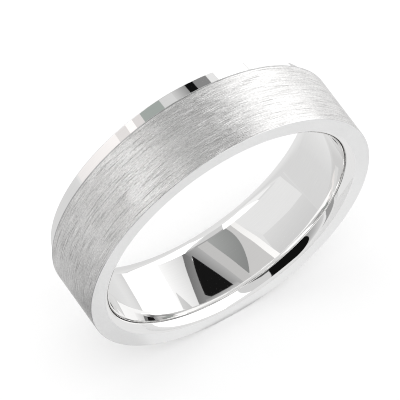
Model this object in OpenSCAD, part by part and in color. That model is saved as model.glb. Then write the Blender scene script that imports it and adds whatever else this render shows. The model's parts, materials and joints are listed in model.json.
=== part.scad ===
// Flat wedding band built up from three concentric rings: a comfort-fit liner, a wide
// brushed sleeve around its front part, and a lower polished rim around its back part.
//
// Millimetres, +Z up. The finger axis is Y, and the origin is the middle of the bore.
// The front is the satin side face at -Y, and the polished rim is at the back, at +Y.
// Every ring is a cross-section in (radius, distance towards the front), spun about
// the finger axis.

/* [Band] */
// Inner diameter at the middle of the bore (18.14 is US size 8)
finger_d = 18.14; // [15:0.01:22]
// Width along the finger
band_w = 6; // [5:0.1:8]
// Thickness of the wall at the brushed sleeve
wall = 1.8; // [1.6:0.05:2.4]

/* [Liner] */
// Thickness of the liner's wall
liner_wall = 0.68; // [0.6:0.02:0.8]
// Length of the straight stretch in the middle of the bore
bore_land = 1.6; // [1:0.1:2.4]
// Radius of the gentle curves on either side of the straight stretch
comfort_r = 13; // [10:0.5:30]
// Length along the finger of the front bevel
front_bevel = 0.71; // [0.5:0.01:0.9]
// Radius of the front bevel's rounding
front_bevel_r = 0.9; // [0.8:0.05:3]
// Length along the finger of the back bevel
back_bevel = 1.03; // [0.6:0.01:1.2]
// Radius of the back bevel's rounding
back_bevel_r = 1.8; // [1.2:0.05:4]

/* [Polished rim] */
// Width of the rim along the finger
rim_w = 1.05; // [0.6:0.05:2]
// How far the middle of the rim lies below the brushed sleeve
rim_drop = 0.5; // [0.2:0.05:0.6]
// How much higher the rim is at the sleeve, and lower at its back edge, than in its middle
rim_taper = 0.07; // [0.02:0.01:0.12]

/* [Edges] */
// Rounding of the sleeve's front corner
front_corner_r = 0.04; // [0.02:0.01:0.1]
// Rounding of the sleeve's corner beside the rim
seam_corner_r = 0.08; // [0.02:0.01:0.15]
// Rounding of the rim's back corner
rim_corner_r = 0.06; // [0.02:0.01:0.15]

/* [Hidden] */
$fn = 180;

bore_r = finger_d / 2;
liner_r = bore_r + liner_wall;
sleeve_r = bore_r + wall;
rim_r = sleeve_r - rim_drop;
front = band_w / 2;
back = -band_w / 2;
seam = back + rim_w;
rim_slope = 2 * rim_taper / rim_w;

// Width of the flat that the bevels leave at the liner's two ends
lip_w = 0.03;

// How far past a section's edge a cut reaches
margin = 0.5;
// How far the bevel's cut starts inside the comfort curve's
overlap = 0.02;

// How much the bore has opened up at a distance along it from the middle
function opening(along) =
    comfort_r - sqrt(comfort_r ^ 2 - max(0, along - bore_land / 2) ^ 2);

// Middle of the arc through points a and b that bulges away from the liner's wall
function arc_centre(a, b, radius) =
    let (chord = b - a, rise = sqrt(radius ^ 2 - (norm(chord) / 2) ^ 2))
    (a + b) / 2 + rise * [chord.y, -chord.x] / norm(chord);

// Spins a cross-section about the finger axis, with its y towards the front
module spin() {
    rotate([90, 0, 0]) rotate_extrude() children();
}

// Rectangle between two radii and two distances
module block(r_in, r_out, from, to) {
    translate([r_in, from]) square([r_out - r_in, to - from]);
}

// What a rounded outer corner loses, for a corner that points outwards and to the front
module corner_loss(r_out, at, radius) {
    difference() {
        block(r_out - radius, r_out + margin, at - radius, at + margin);
        translate([r_out - radius, at - radius]) circle(r = radius);
    }
}

// What half of the liner's inside loses: the comfort curve, then the rounded bevel
module inside_loss(half_w, bevel, bevel_r) {
    crease = [bore_r + opening(half_w - bevel), half_w - bevel];
    lip = [liner_r - lip_w, half_w];
    difference() {
        block(bore_r - margin, liner_r, bore_land / 2, half_w + margin);
        translate([bore_r + comfort_r, bore_land / 2]) circle(r = comfort_r, $fn = 720);
    }
    difference() {
        block(bore_r - margin, lip.x, crease.y - overlap, half_w + margin);
        translate(arc_centre(crease, lip, bevel_r)) circle(r = bevel_r);
    }
}

// Inner ring that touches the finger, polished all over its inside
module comfort_liner() {
    color([0.87, 0.87, 0.88]) spin() difference() {
        block(bore_r, liner_r, back, front);
        inside_loss(front, front_bevel, front_bevel_r);
        mirror([0, 1]) inside_loss(-back, back_bevel, back_bevel_r);
    }
}

// Wide outer ring with the brushed band and the satin side face
module brushed_sleeve() {
    color([0.70, 0.70, 0.71]) spin() difference() {
        block(liner_r, sleeve_r, seam, front);
        corner_loss(sleeve_r, front, front_corner_r);
        mirror([0, 1]) corner_loss(sleeve_r, -seam, seam_corner_r);
    }
}

// Radius of the rim's tapered outside at a distance in front of its back edge
function rim_radius(from_back) = rim_r - rim_taper + rim_slope * from_back;

// What the rim loses outside its taper
module taper_loss() {
    far_r = rim_r + rim_taper + 2 * margin;
    polygon([
        [rim_radius(-margin), back - margin],
        [rim_radius(rim_w + margin), seam + margin],
        [far_r, seam + margin],
        [far_r, back - margin]
    ]);
}

// Narrow outer ring that sits lower than the sleeve and is polished bright. Its rounded
// corner starts a little outside the taper, so that the two meet in a single edge.
module polished_rim() {
    color([0.92, 0.92, 0.93]) spin() difference() {
        block(liner_r, rim_r + rim_taper + margin, back, seam);
        taper_loss();
        mirror([0, 1]) corner_loss(rim_radius(1.5 * rim_corner_r), -back, rim_corner_r);
    }
}

comfort_liner();
brushed_sleeve();
polished_rim();
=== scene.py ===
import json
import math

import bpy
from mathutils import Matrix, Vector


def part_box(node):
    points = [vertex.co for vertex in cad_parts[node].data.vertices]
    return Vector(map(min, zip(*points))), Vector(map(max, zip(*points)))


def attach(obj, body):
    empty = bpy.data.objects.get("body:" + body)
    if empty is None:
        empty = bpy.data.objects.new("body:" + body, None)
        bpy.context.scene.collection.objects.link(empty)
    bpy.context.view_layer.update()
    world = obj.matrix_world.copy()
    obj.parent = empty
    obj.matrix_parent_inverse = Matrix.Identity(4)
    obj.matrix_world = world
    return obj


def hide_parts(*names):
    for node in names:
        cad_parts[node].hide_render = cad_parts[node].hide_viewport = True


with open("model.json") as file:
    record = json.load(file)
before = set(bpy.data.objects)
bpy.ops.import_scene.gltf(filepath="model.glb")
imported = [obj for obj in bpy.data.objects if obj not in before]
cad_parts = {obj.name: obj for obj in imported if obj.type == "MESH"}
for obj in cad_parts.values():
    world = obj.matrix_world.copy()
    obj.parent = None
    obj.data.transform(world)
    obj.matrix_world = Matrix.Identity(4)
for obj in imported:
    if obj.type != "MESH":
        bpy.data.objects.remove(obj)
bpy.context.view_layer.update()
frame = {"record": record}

# A flat comfort-fit wedding band in white metal, standing on its rim on a white table.
# The finger axis is Y, the satin side face is at -Y and the polished rim is at +Y. The script
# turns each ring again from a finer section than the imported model's, gives every surface its
# own finish, and sets up the table, the light tent and the camera.

MM = 0.001

# Name of the surface coordinates, in millimetres, that the materials read
SURFACE_UV = "surface_mm"

# ---------------------------------------------------------------------------------------
# Sizes, from the frame
# ---------------------------------------------------------------------------------------

mounts = {mount["name"]: mount for mount in frame["record"]["mounts"]}
bore_r = mounts["finger_bore"]["dims"]["r_mm"] * MM

liner_low, liner_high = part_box("comfort_liner")
sleeve_low, sleeve_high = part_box("brushed_sleeve")
rim_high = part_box("polished_rim")[1]

liner_r = liner_high.x
sleeve_r = sleeve_high.x
rim_seam_r = rim_high.x
front_y = liner_low.y
back_y = liner_high.y
seam_y = sleeve_high.y
floor_z = sleeve_low.z

# Rounded edges and bevels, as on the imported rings
FRONT_BEVEL = 0.71 * MM
FRONT_BEVEL_R = 0.9 * MM
BACK_BEVEL = 1.03 * MM
BACK_BEVEL_R = 1.8 * MM
LIP_W = 0.03 * MM
SLEEVE_FRONT_CORNER = 0.04 * MM
SLEEVE_SEAM_CORNER = 0.08 * MM
RIM_CORNER = 0.06 * MM

# Radius, lengthwise, of the gentle dome that the bore is turned to
DOME_R = 24 * MM

# Width of the line of painted shade on the band beside the rim, with its rounded corner
SEAM_LINE_W = 0.13 * MM

# How much higher the polished rim is at the band, and lower at the back, than in its middle
RIM_TAPER = 0.07 * MM

# Width of the close pairs of points at the ends of a flat stretch
GUARD_W = 0.01 * MM

# Steps round a whole turn, along the bore, over a bevel and over a rounded corner
TURN_STEPS = 480
BORE_STEPS = 40
BEVEL_STEPS = 24
CORNER_STEPS = 5

# How a stretch of a section joins the one before it
SHARP = False
SMOOTH = True


# ---------------------------------------------------------------------------------------
# Sections and turning
# ---------------------------------------------------------------------------------------

def bevel_arc(start, end, radius):
    """Points of a bevel's arc from start to end, which bulges away from the wall."""
    chord_r = end[0] - start[0]
    chord_y = end[1] - start[1]
    chord = math.hypot(chord_r, chord_y)
    rise = math.sqrt(radius ** 2 - (chord / 2) ** 2)
    centre_r = (start[0] + end[0]) / 2 + rise * chord_y / chord
    centre_y = (start[1] + end[1]) / 2 - rise * chord_r / chord
    first = math.atan2(start[1] - centre_y, start[0] - centre_r)
    last = math.atan2(end[1] - centre_y, end[0] - centre_r)
    turn = (last - first + math.pi) % (2 * math.pi) - math.pi
    points = []
    for step in range(BEVEL_STEPS + 1):
        angle = first + turn * step / BEVEL_STEPS
        points.append((centre_r + radius * math.cos(angle), centre_y + radius * math.sin(angle)))
    return points


def between(ends, share):
    """Value that lies a share of the way from the first end to the second."""
    return ends[0] + (ends[1] - ends[0]) * share


def straight(start, end, steps=1):
    """Points of the line from start to end, with a close pair at each end.

    The close pairs keep the shading of a flat stretch flat right up to a rounded corner.
    """
    length = math.hypot(end[0] - start[0], end[1] - start[1])
    guard = min(GUARD_W / length, 0.2)
    shares = [0.0, guard]
    for step in range(1, steps):
        shares.append(step / steps)
    shares += [1.0 - guard, 1.0]
    points = []
    for share in shares:
        points.append((between((start[0], end[0]), share), between((start[1], end[1]), share)))
    return points


def corner(radius, outer_r, edge_y, towards, slope=0.0):
    """Arc of a rounded outer corner, from the outside onto the side at edge_y.

    outer_r is the radius the outside would have at edge_y, and slope is how steeply the
    outside falls towards that side. towards is -1 for a front corner and 1 for a back one.
    """
    lean = math.atan(slope)
    centre_r = outer_r + radius * slope - radius / math.cos(lean)
    centre_y = edge_y - towards * radius
    points = []
    for step in range(CORNER_STEPS + 1):
        angle = between((lean, math.pi / 2), step / CORNER_STEPS)
        points.append((centre_r + radius * math.cos(angle),
                       centre_y + towards * radius * math.sin(angle)))
    return points


def turn_ring(name, stretches):
    """Turns a closed section about the finger axis.

    stretches is a list of (points, material, start), end to end round the section. Points are
    (radius, y) in metres, and start says whether the stretch's first edge is SHARP or SMOOTH.
    """
    section = []
    segment_finish = []
    sharp_at = set()
    finishes = []
    for points, finish, start in stretches:
        if finish not in finishes:
            finishes.append(finish)
        if start == SHARP:
            sharp_at.add(len(section))
        for point in points[:-1]:
            section.append(point)
            segment_finish.append(finishes.index(finish))
    count = len(section)

    along = [0.0]
    for index in range(count):
        here = section[index]
        there = section[(index + 1) % count]
        along.append(along[-1] + math.hypot(there[0] - here[0], there[1] - here[1]))
    mean_r = sum(point[0] for point in section) / count

    verts = []
    for step in range(TURN_STEPS):
        # The seam of the surface coordinates is underneath, where the band touches the table.
        angle = -math.pi / 2 + 2 * math.pi * step / TURN_STEPS
        for radius, y in section:
            verts.append((radius * math.cos(angle), y, radius * math.sin(angle)))
    faces = []
    for step in range(TURN_STEPS):
        after = (step + 1) % TURN_STEPS
        for index in range(count):
            onward = (index + 1) % count
            faces.append((step * count + index, after * count + index,
                          after * count + onward, step * count + onward))

    mesh = bpy.data.meshes.new(name)
    mesh.from_pydata(verts, [], faces)
    surface_uv = mesh.uv_layers.new(name=SURFACE_UV)
    bake_uv = mesh.uv_layers.new(name="OFBake")
    for face_index, polygon in enumerate(mesh.polygons):
        step, index = divmod(face_index, count)
        polygon.use_smooth = True
        polygon.material_index = segment_finish[index]
        corners = ((step, index), (step + 1, index), (step + 1, index + 1), (step, index + 1))
        for loop_index, (turned, placed) in zip(polygon.loop_indices, corners):
            round_share = turned / TURN_STEPS
            surface_uv.data[loop_index].uv = (round_share * 2 * math.pi * mean_r / MM,
                                              along[placed] / MM)
            bake_uv.data[loop_index].uv = (round_share, along[placed] / along[-1])
    surface_uv.active_render = True
    mesh.uv_layers.active = surface_uv

    for edge in mesh.edges:
        first, second = edge.vertices
        if first % count == second % count and first % count in sharp_at:
            edge.use_edge_sharp = True
    for finish in finishes:
        mesh.materials.append(finish)

    ring = bpy.data.objects.new(name, mesh)
    bpy.context.scene.collection.objects.link(ring)
    return ring


# ---------------------------------------------------------------------------------------
# Materials
# ---------------------------------------------------------------------------------------

# Where a Mix node keeps its sockets for colours
MIX_SHARE = 0
MIX_FIRST = 6
MIX_SECOND = 7
MIX_RESULT = 2


def new_material(name):
    """A node material, its node tree and its Principled shader."""
    material = bpy.data.materials.new(name)
    material.use_nodes = True
    tree = material.node_tree
    shader = tree.nodes["Principled BSDF"]
    return material, tree, shader


def add_node(tree, kind, settings=None, values=None):
    """A new node with its properties and its input values set."""
    node = tree.nodes.new(kind)
    for key, value in (settings or {}).items():
        setattr(node, key, value)
    for key, value in (values or {}).items():
        node.inputs[key].default_value = value
    return node


def noise_at(tree, source, scale, detail=2.0, roughness=0.5, turn=0.0, shift=(0, 0, 0)):
    """Noise over coordinates that are turned by turn degrees, shifted and multiplied by scale."""
    mapping = add_node(tree, "ShaderNodeMapping", values={
        "Location": shift, "Rotation": (0, 0, math.radians(turn))})
    stretch = add_node(tree, "ShaderNodeVectorMath", {"operation": "MULTIPLY"})
    stretch.inputs[1].default_value = scale
    noise = add_node(tree, "ShaderNodeTexNoise", values={
        "Scale": 1.0, "Detail": detail, "Roughness": roughness})
    tree.links.new(source, mapping.inputs["Vector"])
    tree.links.new(mapping.outputs["Vector"], stretch.inputs[0])
    tree.links.new(stretch.outputs["Vector"], noise.inputs["Vector"])
    return noise.outputs["Fac"]


def spread(tree, source, low, high, from_low=0.3, from_high=0.7):
    """Maps the values from from_low to from_high onto the range from low to high."""
    mapped = add_node(tree, "ShaderNodeMapRange", values={
        "From Min": from_low, "From Max": from_high, "To Min": low, "To Max": high})
    tree.links.new(source, mapped.inputs["Value"])
    return mapped.outputs["Result"]


def add_up(tree, parts):
    """The weighted sum of several values. parts is a list of (output, weight)."""
    total = None
    for output, weight in parts:
        term = add_node(tree, "ShaderNodeMath", {"operation": "MULTIPLY_ADD"})
        tree.links.new(output, term.inputs[0])
        term.inputs[1].default_value = weight
        term.inputs[2].default_value = 0.0
        if total is not None:
            tree.links.new(total, term.inputs[2])
        total = term.outputs[0]
    return total


def between_colours(tree, source, dark, light):
    """Colour that goes from dark to light as source goes from 0 to 1."""
    mix = add_node(tree, "ShaderNodeMix", {"data_type": "RGBA"})
    mix.inputs[MIX_FIRST].default_value = (*dark, 1)
    mix.inputs[MIX_SECOND].default_value = (*light, 1)
    tree.links.new(source, mix.inputs[MIX_SHARE])
    return mix.outputs[MIX_RESULT]


def bump_from(tree, source, depth):
    """A bump of that depth in metres."""
    bump = add_node(tree, "ShaderNodeBump", values={"Strength": 1.0, "Distance": depth})
    tree.links.new(source, bump.inputs["Height"])
    return bump.outputs["Normal"]


def surface_coordinates(tree):
    """Coordinates in millimetres over the turned surface: x round the ring, y across it."""
    return add_node(tree, "ShaderNodeUVMap", {"uv_map": SURFACE_UV}).outputs["UV"]


def make_mirror_polish():
    """Buffed white gold: a clear mirror with faint hairlines and slight waviness."""
    material, tree, shader = new_material("mirror_polish")
    place = add_node(tree, "ShaderNodeTexCoord").outputs["Object"]
    surface = surface_coordinates(tree)
    hairlines = noise_at(tree, surface, (0.7, 22, 1), detail=3, roughness=0.6)
    handling = noise_at(tree, place, (420, 420, 420), detail=3, shift=(0.2, 0.1, 0.4))
    waves = noise_at(tree, place, (260, 260, 260), detail=1)
    tone = add_up(tree, [(hairlines, 0.6), (handling, 0.4)])
    colour = between_colours(tree, spread(tree, tone, 0, 1), (0.865, 0.862, 0.858),
                             (0.905, 0.902, 0.898))
    tree.links.new(colour, shader.inputs["Base Color"])
    tree.links.new(spread(tree, tone, 0.015, 0.04), shader.inputs["Roughness"])
    height = add_up(tree, [(waves, 1.0), (hairlines, 0.004)])
    tree.links.new(bump_from(tree, height, 0.012 * MM), shader.inputs["Normal"])
    shader.inputs["Metallic"].default_value = 1.0
    return material


def make_brushed():
    """White gold brushed round the band: fine short scratches, some of them cut deeper, with
    painted shade in the deeper scratches and a painted highlight on the raised lines.
    """
    material, tree, shader = new_material("brushed_round")
    place = add_node(tree, "ShaderNodeTexCoord").outputs["Object"]
    surface = surface_coordinates(tree)
    fine = noise_at(tree, surface, (0.35, 14, 1), detail=2, roughness=0.6)
    stray = noise_at(tree, surface, (1.1, 13, 1), detail=1, shift=(9, 2, 0), turn=-3)
    deep = noise_at(tree, surface, (0.45, 11, 1), detail=1, shift=(3, 5, 0), turn=1)
    bright = noise_at(tree, surface, (0.55, 12, 1), detail=1, shift=(5, 8, 0), turn=-1.5)
    speckle = noise_at(tree, surface, (5.5, 15, 1), detail=1, shift=(2, 7, 0))
    blotches = noise_at(tree, surface, (0.5, 1.1, 1), detail=1, shift=(6, 1, 0))
    patches = noise_at(tree, place, (350, 350, 350), detail=2)
    strokes = noise_at(tree, surface, (0.9, 13, 1), detail=1, shift=(1, 3, 0), turn=2)
    # Painted shade and painted highlight: the deeper scratches darken the colour and the raised
    # lines lighten it, besides shaping the bump.
    cuts_and_shade = spread(tree, deep, 0, 1, 0.57, 0.70)
    ridges_and_glints = spread(tree, bright, 0, 1, 0.58, 0.72)
    lines = add_up(tree, [(fine, 0.75), (stray, 0.40), (cuts_and_shade, -0.36), (ridges_and_glints, 0.28)])
    grain = add_up(tree, [(lines, 1.0), (speckle, 1.0), (blotches, 0.28), (patches, 0.10)])
    colour = between_colours(tree, spread(tree, grain, 0, 1, 0.76, 1.66), (0.51, 0.505, 0.50),
                             (1.0, 0.993, 0.987))
    tree.links.new(colour, shader.inputs["Base Color"])
    tree.links.new(spread(tree, strokes, 0.29, 0.45, 0.32, 0.68), shader.inputs["Roughness"])
    tree.links.new(bump_from(tree, lines, 0.030 * MM), shader.inputs["Normal"])
    tangent = add_node(tree, "ShaderNodeTangent", {"direction_type": "RADIAL", "axis": "Y"})
    tree.links.new(tangent.outputs["Tangent"], shader.inputs["Tangent"])
    shader.inputs["Metallic"].default_value = 1.0
    shader.inputs["Anisotropic"].default_value = 0.8
    shader.inputs["Anisotropic Rotation"].default_value = 0.25
    return material


def make_satin():
    """Lapped side face: an even, very fine grain."""
    material, tree, shader = new_material("satin_face")
    place = add_node(tree, "ShaderNodeTexCoord").outputs["Object"]
    grain = noise_at(tree, place, (9000, 9000, 9000), detail=2)
    patches = noise_at(tree, place, (500, 500, 500), detail=3)
    tone = add_up(tree, [(grain, 0.5), (patches, 0.5)])
    colour = between_colours(tree, spread(tree, tone, 0, 1), (0.89, 0.89, 0.89),
                             (0.94, 0.94, 0.94))
    tree.links.new(colour, shader.inputs["Base Color"])
    tree.links.new(spread(tree, tone, 0.32, 0.40), shader.inputs["Roughness"])
    tree.links.new(bump_from(tree, grain, 0.004 * MM), shader.inputs["Normal"])
    shader.inputs["Metallic"].default_value = 1.0
    return material


def make_edge():
    """The narrow rounded edges, burnished by the finishing of their neighbours."""
    material, tree, shader = new_material("burnished_edge")
    surface = surface_coordinates(tree)
    nicks = noise_at(tree, surface, (2.2, 30, 1), detail=2)
    colour = between_colours(tree, spread(tree, nicks, 0, 1), (0.72, 0.72, 0.72),
                             (0.86, 0.86, 0.86))
    tree.links.new(colour, shader.inputs["Base Color"])
    tree.links.new(spread(tree, nicks, 0.12, 0.24), shader.inputs["Roughness"])
    shader.inputs["Metallic"].default_value = 1.0
    return material


def make_seam_line():
    """The line beside the rim where the brush does not reach: a real rounded seam corner, coloured
    dark as painted shade.
    """
    material, tree, shader = new_material("seam_line")
    surface = surface_coordinates(tree)
    seam_mottle = noise_at(tree, surface, (1.5, 20, 1), detail=2)
    # Painted shade: the seam line is coloured darker than the band beside it.
    colour = between_colours(tree, spread(tree, seam_mottle, 0, 1), (0.36, 0.36, 0.36),
                             (0.60, 0.60, 0.60))
    tree.links.new(colour, shader.inputs["Base Color"])
    tree.links.new(spread(tree, seam_mottle, 0.45, 0.35), shader.inputs["Roughness"])
    shader.inputs["Metallic"].default_value = 1.0
    return material


# ---------------------------------------------------------------------------------------
# The three rings
# ---------------------------------------------------------------------------------------

def bore_radius_at(y):
    """Radius of the domed bore at a place along it."""
    return bore_r + DOME_R - math.sqrt(DOME_R ** 2 - y ** 2)


def make_liner(mirror, satin):
    """Inner ring: domed bore, a rounded bevel at each end, and narrow flat lips."""
    front_crease_y = front_y + FRONT_BEVEL
    back_crease_y = back_y - BACK_BEVEL
    front_crease = (bore_radius_at(front_crease_y), front_crease_y)
    back_crease = (bore_radius_at(back_crease_y), back_crease_y)
    lip_r = liner_r - LIP_W
    bore = []
    for step in range(BORE_STEPS + 1):
        y = between((front_crease_y, back_crease_y), step / BORE_STEPS)
        bore.append((bore_radius_at(y), y))
    stretches = [
        (bevel_arc((lip_r, front_y), front_crease, FRONT_BEVEL_R), mirror, SHARP),
        (bore, mirror, SHARP),
        (bevel_arc(back_crease, (lip_r, back_y), BACK_BEVEL_R), mirror, SHARP),
        (straight((lip_r, back_y), (liner_r, back_y)), satin, SHARP),
        (straight((liner_r, back_y), (liner_r, front_y), 4), satin, SHARP),
        (straight((liner_r, front_y), (lip_r, front_y)), satin, SHARP),
    ]
    return turn_ring("polished_liner", stretches)


def make_sleeve(brushed, satin, edge, seam_line):
    """Wide outer ring: brushed band, satin side face, burnished front edge and a seam line of
    painted shade.
    """
    line_end = (sleeve_r, seam_y - SEAM_LINE_W)
    front_corner = corner(SLEEVE_FRONT_CORNER, sleeve_r, front_y, -1)
    seam_corner = corner(SLEEVE_SEAM_CORNER, sleeve_r, seam_y, 1)
    stretches = [
        ([seam_corner[0], line_end], seam_line, SMOOTH),
        (straight(line_end, front_corner[0], 8), brushed, SMOOTH),
        (front_corner, edge, SMOOTH),
        (straight(front_corner[-1], (liner_r, front_y), 3), satin, SMOOTH),
        (straight((liner_r, front_y), (liner_r, seam_y), 4), satin, SHARP),
        (straight((liner_r, seam_y), seam_corner[-1], 3), satin, SHARP),
        (seam_corner[::-1], seam_line, SMOOTH),
    ]
    return turn_ring("brushed_band", stretches)


def make_rim(mirror, satin, edge):
    """Narrow outer ring that sits lower than the band and tapers slightly to the back."""
    slope = 2 * RIM_TAPER / (back_y - seam_y)
    back_corner = corner(RIM_CORNER, rim_seam_r - 2 * RIM_TAPER, back_y, 1, slope)
    stretches = [
        (straight((liner_r, seam_y), (liner_r, back_y), 2), satin, SHARP),
        (straight((liner_r, back_y), back_corner[-1], 3), satin, SHARP),
        (back_corner[::-1], edge, SMOOTH),
        (straight(back_corner[0], (rim_seam_r, seam_y), 4), mirror, SMOOTH),
        (straight((rim_seam_r, seam_y), (liner_r, seam_y), 2), satin, SHARP),
    ]
    return turn_ring("bright_rim", stretches)


# ---------------------------------------------------------------------------------------
# Table, light tent and camera
# ---------------------------------------------------------------------------------------

# The tent is a cylinder about the finger axis, hung with cards in layers
TENT_R = 350 * MM
TENT_LAYER_GAP = 2 * MM
FLOOR_CARD_LIFT = 0.2 * MM

# Steps across and down a card
CARD_STEPS = 24

# The tent's rows of cards, as the y where each starts and ends, in millimetres
FRONT_ROW = (-5, -1100)
LOW_ROW = (-5, 95)
BORE_ROW = (95, 258)
BORE_ROW_NEAR = (95, 160)
BORE_ROW_FAR = (160, 258)
RIM_ROW = (258, 330)
HIGH_ROW = (330, 440)
HIGHER_ROW = (440, 1400)

# Angle where the rows behind the band start, on its right, in degrees
ROW_START = -14

# The row of cards on the table behind the band, as the y where it starts and ends
FLOOR_ROW = (3.4, 160)

# Tints of the cards
WHITE = (1, 1, 1)
WARM = (1, 0.992, 0.984)
PINK = (1.02, 0.985, 0.975)
COOL = (0.975, 1, 0.985)
COOLER = (0.93, 1.02, 0.97)

# Strength of the surroundings as they light matt surfaces, and as the metal mirrors them
SURROUNDINGS_LIT = 1.14
SURROUNDINGS_MIRRORED = 0.86

# Place, diameter and power of the key light, in metres and watts
KEY_PLACE = Vector((-0.1, 0.45, 0.6))
KEY_SIZE = 0.7
KEY_POWER = 0.55

# Half the table's width, its grey as it lights the band, and its grey and its glow as the
# camera sees it
TABLE_HALF_W = 2.0
TABLE_GREY_LIT = 0.71
TABLE_GREY_SEEN = 0.60
TABLE_GLOW_SEEN = 0.365

# The camera's turn to the left of the front and its rise above the table, in degrees, what
# it looks at, how far away it is, and its lens in millimetres
CAMERA_TURN = 32.232
CAMERA_RISE = 58.767
CAMERA_AIM = Vector((-0.363, 0.306, 0.040)) * MM
CAMERA_DISTANCE = 350.17 * MM
CAMERA_LENS = 475.95
CAMERA_SENSOR_W = 36


def only_reflected(sheet):
    """The sheet shows in reflections only: it lights nothing matt and casts no shadow."""
    sheet.visible_camera = False
    sheet.visible_diffuse = False
    sheet.visible_shadow = False
    sheet.visible_transmission = False


def glow_material(name, tint):
    """A surface that glows as brightly as its mesh's "glow" attribute says."""
    material = bpy.data.materials.new(name)
    material.use_nodes = True
    tree = material.node_tree
    tree.nodes.clear()
    level = add_node(tree, "ShaderNodeAttribute", {"attribute_name": "glow"})
    glow = add_node(tree, "ShaderNodeEmission", values={"Color": (*tint, 1)})
    output = add_node(tree, "ShaderNodeOutputMaterial")
    tree.links.new(level.outputs["Fac"], glow.inputs["Strength"])
    tree.links.new(glow.outputs["Emission"], output.inputs["Surface"])
    material.cycles.emission_sampling = "NONE"
    return material


def blend_corners(corners, across, down):
    """Value inside a sheet, from its four corners: near start, near end, far start, far end."""
    near = between(corners[:2], across)
    far = between(corners[2:], across)
    return between((near, far), down)


def glowing_sheet(name, place_at, brightness, tint=WHITE):
    """A glowing sheet. place_at gives the point at a share across and a share down it.

    brightness is one value, or four: near start, near end, far start, far end.
    """
    levels = brightness if isinstance(brightness, tuple) else (brightness,) * 4
    verts = []
    glow = []
    for row in range(CARD_STEPS + 1):
        down = row / CARD_STEPS
        for column in range(CARD_STEPS + 1):
            across = column / CARD_STEPS
            verts.append(place_at(across, down))
            glow.append(blend_corners(levels, across, down))
    wide = CARD_STEPS + 1
    faces = []
    for row in range(CARD_STEPS):
        for column in range(CARD_STEPS):
            first = row * wide + column
            faces.append((first, first + 1, first + wide + 1, first + wide))
    mesh = bpy.data.meshes.new(name)
    mesh.from_pydata(verts, [], faces)
    mesh.attributes.new("glow", "FLOAT", "POINT").data.foreach_set("value", glow)
    mesh.materials.append(glow_material(name, tint))
    sheet = bpy.data.objects.new(name, mesh)
    bpy.context.scene.collection.objects.link(sheet)
    only_reflected(sheet)


def card_between(name, near_edge, far_edge, brightness, layer=1, tint=WHITE, bow=(0, 0)):
    """A card of the tent between two edges.

    An edge is ((angle, y), (angle, y)), with the angle from +X towards +Z in degrees and y in
    millimetres. Higher layers lie nearer the band. bow is how far, in degrees, each of the
    card's two sides curves off its straight line halfway along.
    """
    angles = [place[0] for place in near_edge + far_edge]
    depths = [place[1] for place in near_edge + far_edge]
    radius = TENT_R - layer * TENT_LAYER_GAP

    def place_at(across, down):
        bowed = between(bow, across) * 4 * down * (1 - down)
        turned = math.radians(blend_corners(angles, across, down) + bowed)
        y = blend_corners(depths, across, down) * MM
        return (radius * math.cos(turned), y, radius * math.sin(turned))

    glowing_sheet(name, place_at, brightness, tint)


def card(name, row, near, far, brightness, layer=1, tint=WHITE, bow=(0, 0)):
    """A card as deep as its row. near and far are its two angles at the row's start and end."""
    near_edge = ((near[0], row[0]), (near[1], row[0]))
    far_edge = ((far[0], row[1]), (far[1], row[1]))
    card_between(name, near_edge, far_edge, brightness, layer, tint, bow)


def card_row(name, row, first_angle, cards, layer=1, tint=WHITE):
    """Upright cards side by side. cards is a list of (angle where it ends, brightness)."""
    angle = first_angle
    for number, (end_angle, brightness) in enumerate(cards):
        span = (angle, end_angle)
        card(f"{name}_{number}", row, span, span, brightness, layer, tint)
        angle = end_angle


def floor_card(name, x_range, y_range, brightness):
    """A glowing sheet that lies on the table beside the band, in millimetres; it shows only in
    reflections.
    """
    def place_at(across, down):
        return (between(x_range, across) * MM, between(y_range, down) * MM,
                floor_z + FLOOR_CARD_LIFT)

    glowing_sheet(name, place_at, brightness)


def standing_card(name, x, y_range, height, brightness):
    """An upright sheet that stands on the table at x and faces the band, in millimetres."""
    def place_at(across, down):
        return (x * MM, between(y_range, across) * MM, floor_z + height * down * MM)

    glowing_sheet(name, place_at, brightness)


def make_bore_cards():
    """The cards behind the band that the bore mirrors, round a black flag and a grey card."""
    card("white_behind", BORE_ROW, (ROW_START, 34), (ROW_START, 34), 1.45)
    card("pale_behind", BORE_ROW, (34, 52), (34, 62), (1.08, 0.86, 1.10, 0.72))
    card("fin", (100, 150), (34.5, 44), (36.3, 36.8), (0.72, 0.62, 0.74, 0.74), 2)
    card("flag_left", BORE_ROW, (49.5, 61), (62, 68), (0.22, 0.34, 0.17, 0.22), 2, bow=(-0.8, 0))
    card("flag_foot", (95, 106), (57, 90), (57, 88), (0.45, 0.6, 0.3, 0.4), 4)
    card_between("flag", ((58.4, 105), (84.5, 102)), ((68, 222), (68, 222)), 0.009, 5,
                 bow=(-1, 0))
    card_between("flag_corner", ((56.8, 104), (64, 103)), ((58, 119), (58, 119)), 0.28, 6,
                 bow=(0, -0.9))
    card("flag_right", BORE_ROW, (84, 93), (61, 75), (0.30, 0.50, 0.26, 0.48), 2)
    card("pale_band", BORE_ROW, (90, 104), (74, 88), 0.60, tint=WARM)
    card("grey_card", (104, 252), (100.5, 101), (86, 106), (0.28, 0.28, 0.44, 0.33), 3, COOL,
         bow=(0, 6.4))
    card("pale_gap", BORE_ROW, (101, 125), (86, 112), 0.66, tint=WARM)
    card("white_strip", BORE_ROW, (125, 131), (111, 116), (1.12, 1.12, 0.98, 0.98), 2, WARM)
    card("pale_far", BORE_ROW_FAR, (130, 181), (114, 176), 0.88)
    card("pale_side", BORE_ROW_FAR, (181, 192), (176, 192), 0.77)
    card("pale_low", BORE_ROW_NEAR, (129, 192), (129, 192), (0.70, 0.68, 0.79, 0.76))


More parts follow.
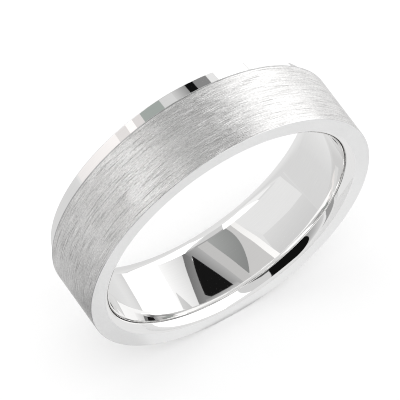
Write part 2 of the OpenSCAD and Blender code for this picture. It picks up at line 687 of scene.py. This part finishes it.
def make_rim_cards():
    """The cards that the polished rim mirrors, from its right over the top to its left."""
    card_row("rim", RIM_ROW, ROW_START, [
        (41, 1.5), (48.1, 0.90), (60, 0.27), (67.2, 0.006), (79.4, (0.32, 0.68, 0.32, 0.68)),
        (91.3, 0.75)], 2)
    card_row("rim_grey", RIM_ROW, 91.3, [(110, 0.43)], 2, COOLER)
    card_row("rim_pale", RIM_ROW, 110, [(117.9, 0.80), (124.9, 1.15), (135.6, 0.84)], 2, PINK)
    card_between("rim_left", ((135.6, 258), (194, 240)), ((135.6, 340), (194, 340)),
                 (1.07, 0.90, 1.07, 0.90), 2, PINK)


def make_band_cards():
    """The rows before and beyond those, which tone the brushed band and show in the back bevel."""
    card_row("high", HIGH_ROW, ROW_START, [
        (48, 1.7), (60, 1.7), (70, 0.50), (104, 0.40), (150, 1.3), (175, 0.8)])
    card_row("higher", HIGHER_ROW, ROW_START, [
        (48, 1.4), (60, 1.5), (70, 0.80), (104, 0.70), (150, 1.25), (175, 1.0)])
    card_row("low", LOW_ROW, ROW_START, [
        (30, 1.4), (48, 1.5), (59, 1.2), (94, 0.06), (110, 0.76), (128, 1.35), (150, 2.5),
        (175, 0.8)])


def make_floor_cards():
    """The table's light and shade as the metal mirrors it, painted on glowing sheets seen only in
    reflections, and a white card that stands close by.
    """
    floor_card("floor_left", (-140, -2.5), FLOOR_ROW, (0.72, 0.76, 0.82, 0.80))
    floor_card("floor_far_left", (-345, -140), FLOOR_ROW, (0.72, 0.72, 0.80, 0.82))
    # Painted shade: a dim sheet that darkens the brushed band's left side in its reflection.
    floor_card("floor_shade", (-70, -12), (-30, 3.4), 0.35)
    floor_card("floor_near", (-2.5, 6), FLOOR_ROW, (0.76, 0.86, 0.80, 0.86))
    floor_card("floor_right", (6, 27), FLOOR_ROW, (0.86, 0.72, 0.86, 0.72))
    floor_card("floor_front", (-6, 14), (-10, -3.1), 0.87)
    standing_card("white_wall", 27, (8, 60), 20, 1.16)


def make_front_cards():
    """The cards in front of the band that the front bevel mirrors."""
    card("white_front", FRONT_ROW, (0, 85), (0, 80), 1.3)
    card("grey_front", FRONT_ROW, (85, 114.5), (80, 120), 0.70)
    card("dark_front", FRONT_ROW, (114, 154.5), (119, 190), 0.006, 2)
    card("fade_front", FRONT_ROW, (150, 181.5), (180, 181.5), (0.30, 0.68, 0.72, 0.80))
    card("dark_foot", (-5, -110), (94, 115), (107, 115), 0.10, 3)


def make_table():
    """White table top under the band. For the camera it glows a little, so shadows stay faint."""
    mesh = bpy.data.meshes.new("table_top")
    mesh.from_pydata([(-TABLE_HALF_W, -TABLE_HALF_W, floor_z),
                      (TABLE_HALF_W, -TABLE_HALF_W, floor_z),
                      (TABLE_HALF_W, TABLE_HALF_W, floor_z),
                      (-TABLE_HALF_W, TABLE_HALF_W, floor_z)], [], [(0, 1, 2, 3)])
    material, tree, shader = new_material("white_table")
    seen = add_node(tree, "ShaderNodeLightPath").outputs["Is Camera Ray"]
    grey = between_colours(tree, seen, (TABLE_GREY_LIT,) * 3, (TABLE_GREY_SEEN,) * 3)
    tree.links.new(grey, shader.inputs["Base Color"])
    glow = between_colours(tree, seen, (0, 0, 0), (TABLE_GLOW_SEEN,) * 3)
    tree.links.new(glow, shader.inputs["Emission Color"])
    shader.inputs["Emission Strength"].default_value = 1.0
    shader.inputs["Roughness"].default_value = 0.9
    shader.inputs["Specular IOR Level"].default_value = 0.0
    material.cycles.emission_sampling = "NONE"
    mesh.materials.append(material)
    table = bpy.data.objects.new("table_top", mesh)
    bpy.context.scene.collection.objects.link(table)


def make_surroundings():
    """Even white surroundings, a little darker where the metal mirrors them."""
    world = bpy.data.worlds.new("surroundings")
    bpy.context.scene.world = world
    world.use_nodes = True
    tree = world.node_tree
    tree.nodes.clear()
    path = add_node(tree, "ShaderNodeLightPath")
    lit = add_node(tree, "ShaderNodeBackground", values={
        "Color": (1, 1, 1, 1), "Strength": SURROUNDINGS_LIT})
    mirrored = add_node(tree, "ShaderNodeBackground", values={
        "Color": (1, 1, 1, 1), "Strength": SURROUNDINGS_MIRRORED})
    mix = add_node(tree, "ShaderNodeMixShader")
    output = add_node(tree, "ShaderNodeOutputWorld")
    tree.links.new(path.outputs["Is Glossy Ray"], mix.inputs["Fac"])
    tree.links.new(lit.outputs["Background"], mix.inputs[1])
    tree.links.new(mirrored.outputs["Background"], mix.inputs[2])
    tree.links.new(mix.outputs["Shader"], output.inputs["Surface"])
    world.cycles.sampling_method = "NONE"


def make_key_light():
    """Large soft light behind the band, which gives the faint shadow in front of it."""
    light = bpy.data.lights.new("key", "AREA")
    light.shape = "DISK"
    light.size = KEY_SIZE
    light.energy = KEY_POWER
    lamp = bpy.data.objects.new("key", light)
    lamp.location = KEY_PLACE
    lamp.rotation_euler = (-KEY_PLACE).to_track_quat("-Z", "Y").to_euler()
    lamp.visible_glossy = False
    bpy.context.scene.collection.objects.link(lamp)


def make_camera():
    """Camera at the photograph's angle: from above, in front and to the left of the band."""
    turn = math.radians(CAMERA_TURN)
    rise = math.radians(CAMERA_RISE)
    away = Vector((-math.sin(turn) * math.cos(rise), -math.cos(turn) * math.cos(rise),
                   math.sin(rise)))
    camera_data = bpy.data.cameras.new("camera")
    camera_data.sensor_width = CAMERA_SENSOR_W
    camera_data.lens = CAMERA_LENS
    camera_data.clip_start = 0.01
    camera_data.clip_end = 10
    camera = bpy.data.objects.new("camera", camera_data)
    camera.location = CAMERA_AIM + CAMERA_DISTANCE * away
    camera.rotation_euler = (-away).to_track_quat("-Z", "Y").to_euler()
    bpy.context.scene.collection.objects.link(camera)
    bpy.context.scene.camera = camera


# ---------------------------------------------------------------------------------------
# Build
# ---------------------------------------------------------------------------------------

# Tones as the lights give them, and a crisp picture without grain
scene = bpy.context.scene
scene.view_settings.view_transform = "Standard"
scene.cycles.use_denoising = True
scene.cycles.denoising_prefilter = "NONE"
scene.cycles.filter_width = 1.1

mirror_polish = make_mirror_polish()
brushed_round = make_brushed()
satin_face = make_satin()
burnished_edge = make_edge()
seam_line = make_seam_line()

liner = make_liner(mirror_polish, satin_face)
sleeve = make_sleeve(brushed_round, satin_face, burnished_edge, seam_line)
rim = make_rim(mirror_polish, satin_face, burnished_edge)

for piece, node, slot in ((liner, "comfort_liner", "mirror_white_gold"),
                          (sleeve, "brushed_sleeve", "brushed_white_gold"),
                          (rim, "polished_rim", "mirror_white_gold")):
    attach(piece, "root")
    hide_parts(node)

make_table()
make_surroundings()
make_key_light()
make_bore_cards()
make_rim_cards()
make_band_cards()
make_floor_cards()
make_front_cards()
make_camera()
